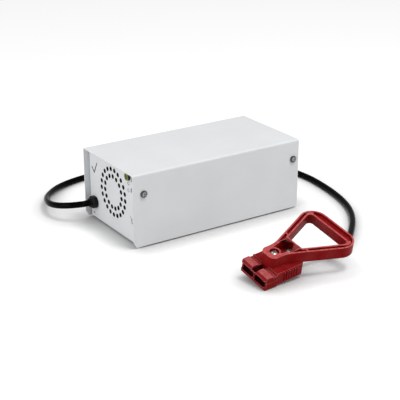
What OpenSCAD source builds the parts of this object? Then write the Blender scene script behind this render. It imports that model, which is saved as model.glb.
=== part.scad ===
// Mains battery charger with a fan-cooled sheet-metal case, an output lead and a
// quick-disconnect battery plug with a pull handle.
// Origin: middle of the case's footprint on the floor. +X runs along the case away from
// the fan panel, +Z is up. The plug leans on the floor in front of the case, at -Y.

/* [Case] */
// Length of the cover
case_l = 200; // [190:1:240]
// Width of the cover
case_w = 100; // [98:1:130]
// Height of the cover
case_h = 75; // [74:1:100]
// Thickness of the sheet steel
sheet = 1; // [0.8:0.1:1.6]
// Outer radius of every bend in the sheet
bend_r = 2; // [1.8:0.1:2.6]
// Gap between the chassis and the inside of the cover
cover_gap = 0.3; // [0.2:0.1:0.6]
// How far the cover stands out past the fan panel
front_recess = 5.5; // [4:0.5:8]
// How far the cover stands out past the rear panel
rear_recess = 3; // [2:0.5:4]
// Diameter of a rubber foot
foot_d = 12; // [8:1:16]
// Height of the cover's lower edge above the floor
foot_h = 1.5; // [1:0.5:5]
// Depth of the angled cut at the cover's lower front corners
notch_l = 3.5; // [2:0.5:5]
// Height of the angled cut at the cover's lower front corners
notch_h = 6; // [4:0.5:9]
// Shank diameter of the cover screws
cover_screw_d = 3.4; // [3:0.1:4]
// Head diameter of the cover screws
cover_screw_head_d = 7; // [6:0.5:8]

/* [Fan] */
// Side of the square fan frame
fan_size = 60; // [58:1:62]
// Depth of the fan frame
fan_depth = 20; // [18:1:24]
// Distance between the fan's mounting holes
fan_pitch = 50; // [48:1:52]
// Height of the fan's axis above the middle of the case's inside
fan_lift = 4.1; // [2:0.1:4.4]
// Distance between the axes of the fan and the strain relief, sideways
fan_to_gland = 38.7; // [37:0.1:40]
// Length of the spacers between the fan panel and the fan
fan_spacer_l = 8.5; // [8:0.5:12]
// Number of fan blades
blade_count = 7; // [5:1:9]
// Hole count of the outer ring in the fan panel
outer_ring_count = 21; // [16:1:22]
// Pitch circle of the outer ring
outer_ring_d = 48; // [46:0.5:50]
// Hole count of the inner ring
inner_ring_count = 15; // [10:1:16]
// Pitch circle of the inner ring
inner_ring_d = 33.5; // [32:0.5:35]
// Diameter of the air holes
vent_d = 4.8; // [4:0.1:5]

/* [Indicator and strain relief] */
// Distance between the axes of the fan and the indicator, sideways
fan_to_lamp = 32.2; // [31.5:0.1:34]
// Depth of the indicator's axis below the top of the cover
lamp_drop = 6.2; // [6:0.1:7.5]
// Outer diameter of the indicator's bezel
bezel_d = 8; // [7.8:0.1:8.4]
// Diameter of the indicator lens
lens_d = 6.1; // [5:0.1:6.4]
// Distance between the strain relief's axis and the cover's side
gland_inset = 12.5; // [11:0.1:13]
// Height of the strain relief above the floor
gland_z = 20.5; // [19:0.5:22]
// Diameter of the strain relief's head
gland_d = 13.2; // [12.5:0.1:13.6]
// Diameter of the hole for the strain relief
gland_hole_d = 11.2; // [10:0.1:11.6]
// Outer diameter of the output lead
lead_d = 6.5; // [6:0.1:6.8]

/* [Battery connector] */
// Length of the connector housing
plug_l = 46.5; // [46:0.5:50]
// Width of the housing's front part
plug_front_w = 35; // [34.5:0.5:38]
// Width of the housing's rear part
plug_rear_w = 33.5; // [32:0.5:34.5]
// Height of the housing
plug_h = 13; // [12.5:0.5:15]
// Length of the housing's wide front part
plug_front_l = 15; // [13:0.5:17]
// Distance of each contact from the middle of the housing
pole_y = 8.25; // [8:0.25:8.5]
// Diameter of the two screws that hold the handle
handle_screw_d = 4; // [3:0.5:4]
// Distance of the front screw from the mating face
screw_front_x = 22.5; // [22:0.5:24]
// Distance of the rear screw from the mating face
screw_rear_x = 41.2; // [38:0.2:41.2]

/* [Handle] */
// Distance of the handle's front from the mating face
pad_front_x = 13; // [12:0.5:15]
// Distance of the grip's outer face from the mating face
grip_x = 100; // [96:1:112]
// Half width of the pad over the housing
pad_half_w = 9.25; // [9:0.25:10]
// Sideways spread of each arm per length
arm_slope = 0.42; // [0.4:0.01:0.5]
// Height of the handle moulding
handle_h = 11.5; // [9:0.5:14]
// Width of the arms, square to their run
arm_w = 5.6; // [5.4:0.1:6.4]
// Width of the grip
grip_w = 8.25; // [8:0.25:11]
// Thickness of the handle's walls
handle_wall = 1.7; // [1.4:0.1:2]
// Thickness of the handle's floor
handle_floor = 2.5; // [2:0.5:4]
// Outer radius of the grip's corners
grip_corner_r = 14.3; // [12:0.1:18]

/* [Inside] */
// Height of the pillars under the circuit board
pillar_h = 8; // [6:0.5:10]
// Thickness of the circuit board
board_t = 1.6; // [1:0.1:2]
// Gap between the circuit board and the lips along the base
board_side_gap = 3.3; // [2:0.1:4]
// Gap between the circuit board and the fan
board_fan_gap = 4.1; // [3.5:0.1:6]
// Gap between the circuit board and the rear panel
board_rear_gap = 5; // [4:0.5:8]

/* [Hidden] */
$fn = 64;
fit_gap = 0.1;
running_gap = 0.05;

// Levels and faces of the case
base_z = foot_h + 0.5;
base_top = base_z + sheet;
cover_top = foot_h + case_h;
chassis_top = cover_top - sheet - cover_gap;
chassis_w = case_w - 2 * sheet - 2 * cover_gap;
bend_in = bend_r - sheet;
front_x = -case_l / 2 + front_recess;
front_in = front_x + sheet;
rear_x = case_l / 2 - rear_recess;
rear_in = rear_x - sheet;
flange_l = 12;
flange_low = 14;
lip_h = 8;
lip_relief = 4;

// Cover screws
screw_front = front_x + 6.5;
screw_rear = rear_x - 4.5;
screw_z = 56.2;
cover_head_h = 2.5;
cover_screw_l = 9;
cross_w = 1;
cross_l = 4;

// Fan
gland_y = case_w / 2 - gland_inset;
fan_y = gland_y - fan_to_gland;
fan_z = (base_top + chassis_top) / 2 + fan_lift;
fan_front = front_in + fan_spacer_l;
fan_back = fan_front + fan_depth;
fan_bore_r = fan_size / 2 - 1.6;
fan_flange = 3.5;
fan_hole_d = 4.3;
stud_d = 3;
stud_head_d = 4.6;
stud_head_h = 0.7;
nut_af = 5.5;
nut_h = 2.4;
hub_r = 14;
hub_h = 13;
hub_wall = 1.5;
shaft_d = 3;
post_r = 3.2;
motor_plate = 3;
blade_r = fan_bore_r - 1.2;
blade_t = 1.3;
blade_curve_r = 16;
hub_front = fan_front + 1.5;

// Indicator and strain relief
lamp_y = fan_y - fan_to_lamp;
lamp_z = cover_top - lamp_drop;
bezel_front = 2.4;
bezel_chamfer = 0.5;
bezel_barrel_d = 7.2;
bezel_barrel_l = 4.4;
lens_rim_l = 0.6;
lens_rim_gap = 0.3;
lens_out = 1;
lamp_leg_d = 0.6;
lamp_leg_l = 1.6;
lamp_pitch = 2.54;
gland_head_l = 5.5;
gland_nose_l = 2;
gland_neck_l = 7;
gland_chamfer = 1.2;
gland_flat = 0.7;
gland_nose_wall = 1.2;
lead_r = lead_d / 2;
lead_start_x = front_x + 19;
gland_end_x = front_x - gland_head_l - gland_nose_l;

// Connector: in its own frame the mating face is at x = 0 and the underside at z = 0. It leans
// on the near lower corner of its front, because the stiff lead holds its rear up
plug_roll = 13.5;
plug_pitch = -5;
plug_turn = 3;
plug_place = [-47.9, -173.2, plug_front_w / 2 * sin(plug_roll) * cos(plug_pitch)];
lead_tail = [60, 0, plug_h / 2 - 0.9];
lead_tail_run = [5, 0, -0.7];
mouth_wall = 2.4;
mouth_depth = 12;
mouth_mid = 3;
lower_lip_l = 1.2;
lower_lip_h = 1;
block_rise = 1.5;
block_l = 8.5;
block_slope = [1.8, 2.6];
ridge_l = 1.6;
side_groove = [0.5, 0.7];
side_groove_z = 7;
channel_w = 7;
channel_depth = 2.2;
pole_bore_d = 7;
core_d = 2.8;
core_y = 1.7;
contact_w = 5;
contact_tip_x = 5.5;
plug_nut_af = 7;
plug_nut_h = 3.2;
nut_pocket_h = 3.8;
rear_corner_r = 4;
rib_count = 6;
rib_pitch = 3;
rib_r = 0.8;
rib_start = plug_front_l + 8;
deck_z = plug_h + handle_floor;
handle_top = plug_h + handle_h;
pad_corner_r = 6;
boss_r = 5.9;
head_d = 7;
head_h = 2.4;
boss_depth = 3.4;
pocket_x = 23.5;
pocket_front_half = 4.6;
pocket_wide_x = 35;
opening_x = 47;
inner_corner_r = 4;
opening_front_r = 1.5;
arm_start = 30;
pad_fillet_r = 30;
arm_lean = atan(arm_slope);
arm_splay = 1 / cos(arm_lean);
pocket_half = pad_half_w + arm_slope * (opening_x - arm_start) - arm_w * arm_splay
    - 1.5 * handle_wall;

// Board, and the pieces on it with their places from its edges
board_z = base_top + pillar_h;
board_top = board_z + board_t;
board_x0 = fan_back + board_fan_gap;
board_x1 = rear_in - board_rear_gap;
board_l = board_x1 - board_x0;
board_w = chassis_w - 2 * sheet - 2 * board_side_gap;
board_hole_inset = 5;
board_hole_d = 3.2;
pillar_af = 5.5;
board_screw_d = 2.5;
board_screw_l = 6;
board_screw_head = [5.5, 2];
terminal_size = [11, 13.6, 12];
terminal_x = board_x0 + 12;
terminal_y = board_w / 2 - 7;
terminal_way = 3.4;
terminal_bore_z = 5.5;
terminal_screw_x = 6;
terminal_screw_z = 9;
core_leg = 6;
core_window = [9, 22];
core_depth = 16;
core_seat = 2;
transformer_x = board_x0 + 48;
bobbin_w = 34;
bobbin_gap = 0.5;
choke_ring_r = 9;
choke_wire_r = 5;
choke_place = [board_x1 - 22.8, -12];
mains_can_d = 22;
mains_can_h = 36;
mains_can_place = choke_place - [26, -8];
output_can_d = 10;
output_can_h = 22;
output_can_count = 3;
output_can_pitch = 13;
output_can_place = [board_x0 + 14.2, -(bobbin_w + output_can_d) / 2 - 0.5];
output_can_end = output_can_place.x + output_can_pitch * (output_can_count - 1) + output_can_d / 2;
sink_h = 40;
sink_plate = 3;
sink_fin_l = 7;
sink_fin_t = 1.6;
sink_fin_count = 6;
sink_y = board_w / 2 - 10;
sink_x = output_can_end + 1;
sink_l = board_x1 - 35 - sink_x;
transistor_size = [10, 4.4, 15];
transistor_lift = 12;
transistor_count = 3;
fuse_l = 20;
fuse_d = 5;
fuse_lift = 5;
fuse_clip = [5, 6.4, 6.5];
fuse_place = [board_x1 - 28.8, board_w / 2 - 13];

// Mains inlet and air outlet
inlet_y = case_w / 2 - 32;
inlet_z = 44;
inlet_flange = [3, 50, 24];
inlet_body = [20, 27, 19.5];
inlet_socket = [16, 23.5, 15.5];
inlet_pitch = 40;
inlet_hole_d = 3.4;
inlet_screw_d = 3;
inlet_screw_head_d = 6.2;
inlet_screw_head_h = 1.6;
inlet_cut = 5;
pin_size = [2, 4];
pin_pitch = 7;
pin_back = 2.5;
tab_l = 3;
outlet_pitch = 7.5;
outlet_start = [12 - case_w / 2, 22];

// Route of the output lead, from the stripped end in the case to the stripped end behind the plug
lead_route = [
    [lead_start_x, gland_y, gland_z],
    [front_x + 1, gland_y, gland_z],
    [gland_end_x + 1.5, gland_y, gland_z],
    [gland_end_x - 3.5, gland_y, gland_z],
    [-111, 39, 20.2],
    [-120, 45.5, 18.9],
    [-126.5, 57, 16.4],
    [-128.8, 70.6, 13.8],
    [-126, 86, 11.2],
    [-119.5, 101.6, 8.7],
    [-108.5, 116.5, 6.5],
    [-93, 131, 4.8],
    [-75.5, 140.6, 3.8],
    [-52.5, 147, 3.3],
    [-18, 150, 3.3],
    [20, 150, 3.3],
    [60, 144, 3.3],
    [98, 128, 3.3],
    [128, 102, 3.3],
    [148, 68, 3.3],
    [158.5, 34, 3.3],
    [161.5, 4.6, 3.3],
    [158.8, -23.5, 3.3],
    [153.8, -49.2, 3.3],
    [146.5, -73, 3.3],
    [136, -95, 3.3],
    [120, -117, 3.3],
    [99, -138.5, 3.3],
    [83.5, -151.3, 3.3],
    [70.5, -159.6, 3.5],
    [58.5, -164.6, 4.8],
    [47, -167.3, 7],
    [33.8, -169.6, 10.6],
    plug_spot(lead_tail + 2 * lead_tail_run),
    plug_spot(lead_tail + lead_tail_run),
    plug_spot(lead_tail)
];

// Colours
case_grey = [0.85, 0.86, 0.87];
zinc = [0.75, 0.75, 0.73];
black_plastic = [0.08, 0.08, 0.08];
plug_red = [0.62, 0.16, 0.18];
handle_red = [0.55, 0.08, 0.1];
board_green = [0.1, 0.35, 0.2];

// Direction of a vector, with length one
function unit(v) = v / norm(v);

// Point between b and c on the smooth curve through a, b, c and d
function curve_point(a, b, c, d, t) =
    0.5 * ((2 * b) + (c - a) * t + (2 * a - 5 * b + 4 * c - d) * t * t
        + (3 * b - a - 3 * c + d) * t * t * t);

// Smooth run through all points of a route, with equal steps in each stretch
function smooth_run(route, steps) =
    let (last = len(route) - 1)
    concat(
        [for (i = [0:last - 1], k = [0:steps - 1])
            curve_point(route[max(i - 1, 0)], route[i], route[i + 1], route[min(i + 2, last)],
                k / steps)],
        [route[last]]
    );

// Direction of the run at one of its points
function run_direction(run, i) =
    unit(run[min(i + 1, len(run) - 1)] - run[max(i - 1, 0)]);

// Round tube or wire swept along a run of points, with a fixed side direction as reference
module swept_wire(run, radius, sides, side_ref) {
    rings = [
        for (i = [0:len(run) - 1])
            let (
                ahead = run_direction(run, i),
                across = unit(cross(side_ref, ahead)),
                over = cross(ahead, across)
            )
            for (k = [0:sides - 1])
                run[i] + radius * (cos(360 * k / sides) * across + sin(360 * k / sides) * over)
    ];
    count = len(run);
    walls = [
        for (i = [0:count - 2], k = [0:sides - 1])
            let (a = i * sides + k, b = i * sides + (k + 1) % sides)
            each [[a, a + sides, b], [b, a + sides, b + sides]]
    ];
    caps = [
        [for (k = [0:sides - 1]) k],
        [for (k = [sides - 1:-1:0]) (count - 1) * sides + k]
    ];
    polyhedron(rings, concat(walls, caps));
}

// Rectangle with its two upper corners rounded, standing on the x axis
module arch_2d(width, height, radius) {
    translate([-width / 2, 0]) square([width, height - radius]);
    translate([-width / 2 + radius, 0]) square([width - 2 * radius, height]);
    for (side = [-1, 1])
        translate([side * (width / 2 - radius), height - radius]) circle(radius);
}

// Section of a sheet folded twice, open at the bottom
module folded_2d(width, height) {
    difference() {
        arch_2d(width, height, bend_r);
        translate([0, -1]) arch_2d(width - 2 * sheet, height - sheet + 1, bend_in);
    }
}

// Rectangle with four rounded corners, centred
module rounded_2d(width, length, radius) {
    square([width - 2 * radius, length], center = true);
    square([width, length - 2 * radius], center = true);
    for (x = [-1, 1], y = [-1, 1])
        translate([x * (width / 2 - radius), y * (length / 2 - radius)]) circle(radius);
}

// Solid along x with a section drawn in y and z
module along_x(length) {
    rotate([90, 0, 90]) linear_extrude(length) children();
}

// Cylinder along x
module rod_x(radius, length) {
    rotate([0, 90, 0]) cylinder(r = radius, h = length);
}

// Hexagonal prism along z, given across its flats
module hexagon(across_flats, height) {
    cylinder(d = across_flats / cos(30), h = height, $fn = 6);
}

// Screw pointing down from z = 0, with its head above and a cross in the head
module pan_screw(shank_d, length, head_d, head_h, slot_l, slot_w) {
    translate([0, 0, -length]) cylinder(d = shank_d, h = length);
    difference() {
        intersection() {
            cylinder(d = head_d, h = head_h);
            translate([0, 0, head_h - head_d]) sphere(head_d);
        }
        for (turn = [0, 90])
            rotate([0, 0, turn])
                translate([-slot_l / 2, -slot_w / 2, head_h / 2]) cube([slot_l, slot_w, head_h]);
    }
}

// Ring of round holes through a panel, one hole or one gap at the top
module hole_ring(count, pitch_d, start) {
    for (i = [0:count - 1])
        rotate([start + i * 360 / count, 0, 0])
            translate([-sheet, 0, pitch_d / 2]) rod_x(vent_d / 2, 3 * sheet, $fn = 32);
}

// Cover: one sheet folded over the top and both long sides
module cover() {
    color(case_grey)
    difference() {
        translate([-case_l / 2, 0, foot_h]) along_x(case_l) folded_2d(case_w, case_h);
        for (x = [screw_front, screw_rear])
            translate([x, -case_w, screw_z]) rotate([-90, 0, 0])
                cylinder(d = cover_screw_d + 0.8, h = 2 * case_w);
        cover_notch(-case_l / 2, 1, notch_l, notch_h);
        cover_notch(case_l / 2, -1, notch_l / 2, notch_h / 2);
    }
}

// Angled cut at a lower corner of both cover sides
module cover_notch(x, inward, length, height) {
    translate([x, case_w, foot_h]) rotate([90, 0, 0]) linear_extrude(2 * case_w)
        polygon([[-inward, -1], [inward * length, -1], [inward * length, 0],
            [0, height], [-inward, height]]);
}

// Flange along an upright edge of an end panel, bent back against the cover's side
module corner_flange(panel_x, inward, side) {
    edge = side * chassis_w / 2;
    low = flange_low;
    high = chassis_top - 2;
    translate([panel_x, edge, low]) scale([inward, side, 1]) {
        translate([bend_r, -sheet, 0]) cube([flange_l - bend_r, sheet, high - low]);
        intersection() {
            translate([0, -bend_r, 0]) cube([bend_r, bend_r, high - low]);
            translate([bend_r, -bend_r, 0]) difference() {
                cylinder(r = bend_r, h = high - low);
                translate([0, 0, -1]) cylinder(r = bend_in, h = high - low + 2);
            }
        }
    }
}

// Tray: base with lips along both sides
module chassis_base() {
    lip_x0 = front_x + bend_r + lip_relief;
    lip_x1 = rear_x - bend_r - lip_relief;
    translate([lip_x0, 0, base_z + lip_h]) mirror([0, 0, 1])
        along_x(lip_x1 - lip_x0) folded_2d(chassis_w, lip_h);
}

// Base and both end panels, folded from one strip
module chassis_strip() {
    strip_h = chassis_top - base_z;
    strip_w = chassis_w - 2 * bend_r;
    translate([(front_x + rear_x) / 2, strip_w / 2, chassis_top])
        mirror([0, 0, 1]) rotate([90, 0, 0]) linear_extrude(strip_w)
            folded_2d(rear_x - front_x, strip_h);
}

// Holes of the fan panel
module fan_panel_holes() {
    translate([front_x, fan_y, fan_z]) {
        hole_ring(outer_ring_count, outer_ring_d, 180 / outer_ring_count);
        hole_ring(inner_ring_count, inner_ring_d, 0);
    }
    translate([front_x - 1, lamp_y, lamp_z]) rod_x(bezel_barrel_d / 2, sheet + 2);
    translate([front_x - 1, gland_y, gland_z]) rod_x(gland_hole_d / 2, sheet + 2);
    fan_corners() translate([front_in - stud_head_h, 0, 0]) rod_x(stud_head_d / 2, 2);
}

// Holes of the rear panel: mains inlet and air outlet
module rear_panel_holes() {
    translate([rear_in - 1, inlet_y - inlet_body.y / 2, inlet_z - inlet_body.z / 2])
        cube([sheet + 2, inlet_body.y, inlet_body.z]);
    for (side = [-1, 1])
        translate([rear_in - 1, inlet_y + side * inlet_pitch / 2, inlet_z])
            rod_x(inlet_hole_d / 2, sheet + 2);
    for (row = [0:5], column = [0:3])
        translate([rear_in - 1, outlet_start.x + outlet_pitch * (column + (row % 2) / 2),
            outlet_start.y + (outlet_pitch - 0.5) * row])
            rod_x(vent_d / 2, sheet + 2, $fn = 32);
}

// Places a child at the four corner holes of the fan
module fan_corners() {
    for (y = [-1, 1], z = [-1, 1])
        translate([0, fan_y + y * fan_pitch / 2, fan_z + z * fan_pitch / 2]) children();
}

// Places a child at each hole of the board, at z = 0
module board_corners() {
    for (x = [board_x0 + board_hole_inset, board_x1 - board_hole_inset], side = [-1, 1])
        translate([x, side * (board_w / 2 - board_hole_inset), 0]) children();
}

// Chassis: one folded sheet with base, side lips, fan panel and rear panel
module chassis() {
    color(case_grey)
    difference() {
        union() {
            chassis_base();
            chassis_strip();
            for (side = [-1, 1]) {
                corner_flange(front_x, 1, side);
                corner_flange(rear_x, -1, side);
            }
        }
        fan_panel_holes();
        rear_panel_holes();
        for (x = [screw_front, screw_rear])
            translate([x, -case_w, screw_z]) rotate([-90, 0, 0])
                cylinder(d = cover_screw_d + fit_gap, h = 2 * case_w);
        board_corners() translate([0, 0, base_z - 1]) cylinder(d = board_hole_d, h = sheet + 2);
    }
}

// Four pan-head screws through the cover into the chassis flanges
module cover_screws() {
    color(zinc)
    for (x = [screw_front, screw_rear], side = [-1, 1])
        translate([x, side * case_w / 2, screw_z]) rotate([-side * 90, 0, 0])
            pan_screw(cover_screw_d, cover_screw_l, cover_screw_head_d, cover_head_h,
                cross_l, cross_w);
}

// Four rubber feet under the base
module feet() {
    color(black_plastic)
    for (x = [-1, 1], y = [-1, 1])
        translate([x * (case_l / 2 - 18), y * (case_w / 2 - 14), 0])
            cylinder(d1 = foot_d - 1, d2 = foot_d, h = base_z);
}

// Square fan frame: two flanges, a round duct, and struts that carry the motor plate
module fan_frame() {
    color(black_plastic)
    translate([fan_front, fan_y, fan_z]) {
        difference() {
            union() {
                for (x = [0, fan_depth - fan_flange])
                    translate([x, 0, 0]) along_x(fan_flange) rounded_2d(fan_size, fan_size, 4);
                rod_x(fan_size / 2 - 0.4, fan_depth);
            }
            translate([-1, 0, 0]) rod_x(fan_bore_r, fan_depth + 2);
            for (y = [-1, 1], z = [-1, 1])
                translate([-1, y * fan_pitch / 2, z * fan_pitch / 2])
                    rod_x(fan_hole_d / 2, fan_depth + 2);
        }
        translate([fan_depth - motor_plate, 0, 0]) {
            difference() {
                union() {
                    rod_x(hub_r, motor_plate);
                    for (i = [0:3])
                        rotate([45 + 90 * i, 0, 0]) translate([0, -1.5, hub_r - 1])
                            cube([motor_plate - 0.6, 3, fan_bore_r + 0.5 - hub_r + 1]);
                }
                translate([-1, 0, 0]) rod_x(shaft_d / 2 + running_gap, motor_plate + 2);
            }
            translate([-8, 0, 0]) difference() {
                rod_x(post_r, 8);
                translate([-1, 0, 0]) rod_x(shaft_d / 2 + running_gap, 10);
            }
        }
    }
}

// Fan rotor: cup-shaped hub on its shaft, with curved blades
module fan_rotor() {
    color([0.12, 0.12, 0.12])
    translate([hub_front, fan_y, fan_z]) {
        difference() {
            rod_x(hub_r - 0.4, hub_h);
            translate([hub_wall, 0, 0]) rod_x(hub_r - 0.4 - hub_wall, hub_h);
        }
        translate([hub_wall - 0.2, 0, 0]) rod_x(shaft_d / 2, fan_depth - 4.5);
        intersection() {
            difference() {
                rod_x(blade_r, hub_h);
                translate([-1, 0, 0]) rod_x(hub_r - 0.6, hub_h + 2);
            }
            for (i = [0:blade_count - 1]) rotate([i * 360 / blade_count, 0, 0]) fan_blade();
        }
    }
}

// One blade: a quarter arc in section, run out radially along z
module fan_blade() {
    linear_extrude(blade_r + 2)
        translate([hub_h + blade_curve_r / 4, -blade_curve_r / 4]) intersection() {
            difference() {
                circle(blade_curve_r);
                circle(blade_curve_r - blade_t);
            }
            translate([-blade_curve_r, 0]) square(blade_curve_r);
        }
}

// Laminations and coils of the fan motor, on the post of the frame
module fan_stator() {
    color([0.7, 0.4, 0.2])
    translate([fan_back - motor_plate - 8, fan_y, fan_z])
    difference() {
        intersection() {
            rod_x(hub_r - 4, 6);
            union() {
                rod_x(post_r + 2.5, 6);
                for (i = [0:3])
                    rotate([90 * i, 0, 0]) translate([0, -3, 0]) cube([6, 6, hub_r]);
            }
        }
        translate([-1, 0, 0]) rod_x(post_r, 8);
    }
}

// Studs pressed into the back of the fan panel
module fan_studs() {
    color(zinc)
    fan_corners() {
        translate([front_in - stud_head_h, 0, 0]) rod_x(stud_head_d / 2, stud_head_h);
        translate([front_in, 0, 0]) rod_x(stud_d / 2, fan_back + nut_h + 1.5 - front_in);
    }
}

// Tubes that hold the fan off the panel
module fan_spacers() {
    color([0.9, 0.9, 0.88])
    fan_corners() translate([front_in, 0, 0]) difference() {
        rod_x(3, fan_spacer_l);
        translate([-1, 0, 0]) rod_x(stud_d / 2 + fit_gap, fan_spacer_l + 2);
    }
}

// Nuts behind the fan
module fan_nuts() {
    color(zinc)
    fan_corners() translate([fan_back, 0, 0]) rotate([0, 90, 0]) difference() {
        hexagon(nut_af, nut_h);
        translate([0, 0, -1]) cylinder(d = stud_d + fit_gap, h = nut_h + 2);
    }
}

// Round bezel clipped into the fan panel
module indicator_bezel() {
    color(black_plastic)
    translate([front_x, lamp_y, lamp_z]) rotate([0, 90, 0]) rotate_extrude() difference() {
        union() {
            polygon([[0, -bezel_front], [bezel_d / 2 - bezel_chamfer, -bezel_front],
                [bezel_d / 2, bezel_chamfer - bezel_front], [bezel_d / 2, 0], [0, 0]]);
            square([bezel_barrel_d / 2 - fit_gap / 2, bezel_barrel_l]);
        }
        translate([0, -bezel_front - 1]) square([lens_d / 2, bezel_barrel_l + bezel_front + 2]);
    }
}

// Lamp body with a domed lens, a rim that covers the bezel's face, and two legs
module indicator_lamp() {
    lens_r = lens_d / 2;
    rim_x = -bezel_front - lens_rim_l;
    dome_r = (lens_r * lens_r + lens_out * lens_out) / (2 * lens_out);
    color([0.65, 0.7, 0.2])
    translate([front_x, lamp_y, lamp_z]) {
        rotate([0, 90, 0]) rotate_extrude() {
            translate([0, -bezel_front]) square([lens_r, bezel_barrel_l + bezel_front]);
            translate([0, rim_x]) square([bezel_d / 2 - lens_rim_gap, lens_rim_l]);
            intersection() {
                translate([0, dome_r - lens_out + rim_x]) circle(dome_r);
                translate([0, rim_x - lens_out]) square([lens_r, lens_out + 0.01]);
            }
        }
        for (side = [-1, 1])
            translate([bezel_barrel_l, 0, side * lamp_pitch / 2])
                rod_x(lamp_leg_d / 2, lamp_leg_l);
    }
}

// Strain relief: flatted head outside the panel, locking collar inside
module strain_relief() {
    head_r = gland_d / 2;
    flats = gland_d - 2 * gland_flat;
    whole_l = gland_head_l + gland_nose_l + gland_neck_l;
    color(black_plastic)
    translate([front_x, gland_y, gland_z]) difference() {
        union() {
            intersection() {
                rotate([0, 90, 0]) rotate_extrude() polygon([
                    [0, -gland_head_l], [head_r - gland_chamfer, -gland_head_l],
                    [head_r, gland_chamfer - gland_head_l], [head_r, 0], [0, 0]
                ]);
                translate([-gland_head_l, -head_r, -flats / 2]) cube([gland_head_l, gland_d, flats]);
            }
            translate([-gland_head_l - gland_nose_l, 0, 0])
                rod_x(lead_r + gland_nose_wall, gland_nose_l);
            rod_x(gland_hole_d / 2 - fit_gap / 2, gland_neck_l);
        }
        translate([-gland_head_l - gland_nose_l - 1, 0, 0])
            rod_x(lead_r + running_gap, whole_l + 2);
    }
}

// Output lead, swept along its route
module output_lead() {
    color(black_plastic)
    swept_wire(smooth_run(lead_route, 2), lead_r, 12, [0, 0, 1]);
}

// Puts a child drawn in the connector's own frame in its place
module on_plug() {
    translate(plug_place) rotate([plug_roll, plug_pitch, plug_turn]) children();
}

// Place of a point that is given in the connector's own frame
function plug_spot(p) =
    let (
        rolled = [p.x, p.y * cos(plug_roll) - p.z * sin(plug_roll),
            p.y * sin(plug_roll) + p.z * cos(plug_roll)],
        pitched = [rolled.x * cos(plug_pitch) + rolled.z * sin(plug_pitch), rolled.y,
            rolled.z * cos(plug_pitch) - rolled.x * sin(plug_pitch)]
    )
    plug_place + [pitched.x * cos(plug_turn) - pitched.y * sin(plug_turn),
        pitched.x * sin(plug_turn) + pitched.y * cos(plug_turn), pitched.z];

// Places a child at both screws of the handle
module plug_screw_places() {
    for (x = [screw_front_x, screw_rear_x]) translate([x, 0, 0]) children();
}

// Outline of the housing seen from above
module plug_plan() {
    translate([plug_front_l / 2, 0]) rounded_2d(plug_front_l, plug_front_w, 1);
    translate([plug_front_l - 2, -plug_rear_w / 2])
        square([plug_l - rear_corner_r - plug_front_l + 2, plug_rear_w]);
    translate([plug_l / 2, 0]) square([plug_l, plug_rear_w - 2 * rear_corner_r], center = true);
    for (side = [-1, 1])
        translate([plug_l - rear_corner_r, side * (plug_rear_w / 2 - rear_corner_r)])
            circle(rear_corner_r);
}

// Grip ribs on both sides of the housing's rear part
module plug_ribs() {
    for (i = [0:rib_count - 1], side = [-1, 1])
        translate([rib_start + rib_pitch * i, side * plug_rear_w / 2, 2 * rib_r])
            cylinder(r = rib_r, h = plug_h - 4 * rib_r, $fn = 24);
}

// Red two-pole connector housing
module plug_housing() {
    mouth_h = plug_h - block_rise - 2 * mouth_wall;
    mouth_w = (plug_front_w - 2 * mouth_wall - mouth_mid) / 2;
    color(plug_red)
    on_plug() difference() {
        union() {
            linear_extrude(plug_h) plug_plan();
            plug_ribs();
        }
        // step behind the raised blocks, and the channel between them
        translate([block_l, -plug_front_w, plug_h - block_rise])
            cube([plug_front_l - block_l - ridge_l, 2 * plug_front_w, plug_h]);
        translate([-1, -channel_w / 2, plug_h - channel_depth])
            cube([plug_front_l - ridge_l + 1, channel_w, plug_h]);
        // slope at the front of the blocks
        translate([0, plug_front_w, plug_h]) rotate([90, 0, 0]) linear_extrude(2 * plug_front_w)
            polygon([[-1, 1], [-1, -block_slope.y], [0, -block_slope.y], [block_slope.x, 0],
                [block_slope.x, 1]]);
        // two mouths with a wall between them, and a lower lip that stands further out
        for (side = [-1, 1])
            translate([-1, side * (mouth_mid + mouth_w) / 2 - mouth_w / 2, mouth_wall])
                cube([mouth_depth + 1, mouth_w, mouth_h]);
        translate([-1, -plug_front_w, mouth_wall + lower_lip_h])
            cube([lower_lip_l + 1, 2 * plug_front_w, mouth_h - lower_lip_h / 2]);
        // groove along both sides of the front part
        for (side = [-1, 1])
            translate([-1, side * plug_front_w / 2 - side_groove.x, side_groove_z])
                cube([plug_front_l - ridge_l + 1, 2 * side_groove.x, side_groove.y]);
        // bores for the contacts, open at the rear
        for (side = [-1, 1])
            translate([mouth_depth - 1, side * pole_y, plug_h / 2]) rod_x(pole_bore_d / 2, plug_l);
        // screw holes with pockets for the nuts
        plug_screw_places() {
            translate([0, 0, -1]) cylinder(d = handle_screw_d + 2 * fit_gap, h = plug_h + 2);
            translate([0, 0, -1]) hexagon(plug_nut_af + 2 * fit_gap, nut_pocket_h + 1);
        }
    }
}

// Two silvered contacts: flat tongue, and a barrel for the core
module plug_contacts() {
    barrel_x = 24;
    color([0.8, 0.8, 0.78])
    on_plug() for (side = [-1, 1]) translate([0, side * pole_y, plug_h / 2]) {
        translate([contact_tip_x, -contact_w / 2, -0.6])
            cube([barrel_x - contact_tip_x, contact_w, 1.8]);
        translate([barrel_x, 0, 0]) difference() {
            rod_x(pole_bore_d / 2 - 0.4, 14);
            translate([2, 0, 0]) rod_x(core_d / 2 + running_gap, 14);
        }
    }
}

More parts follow.
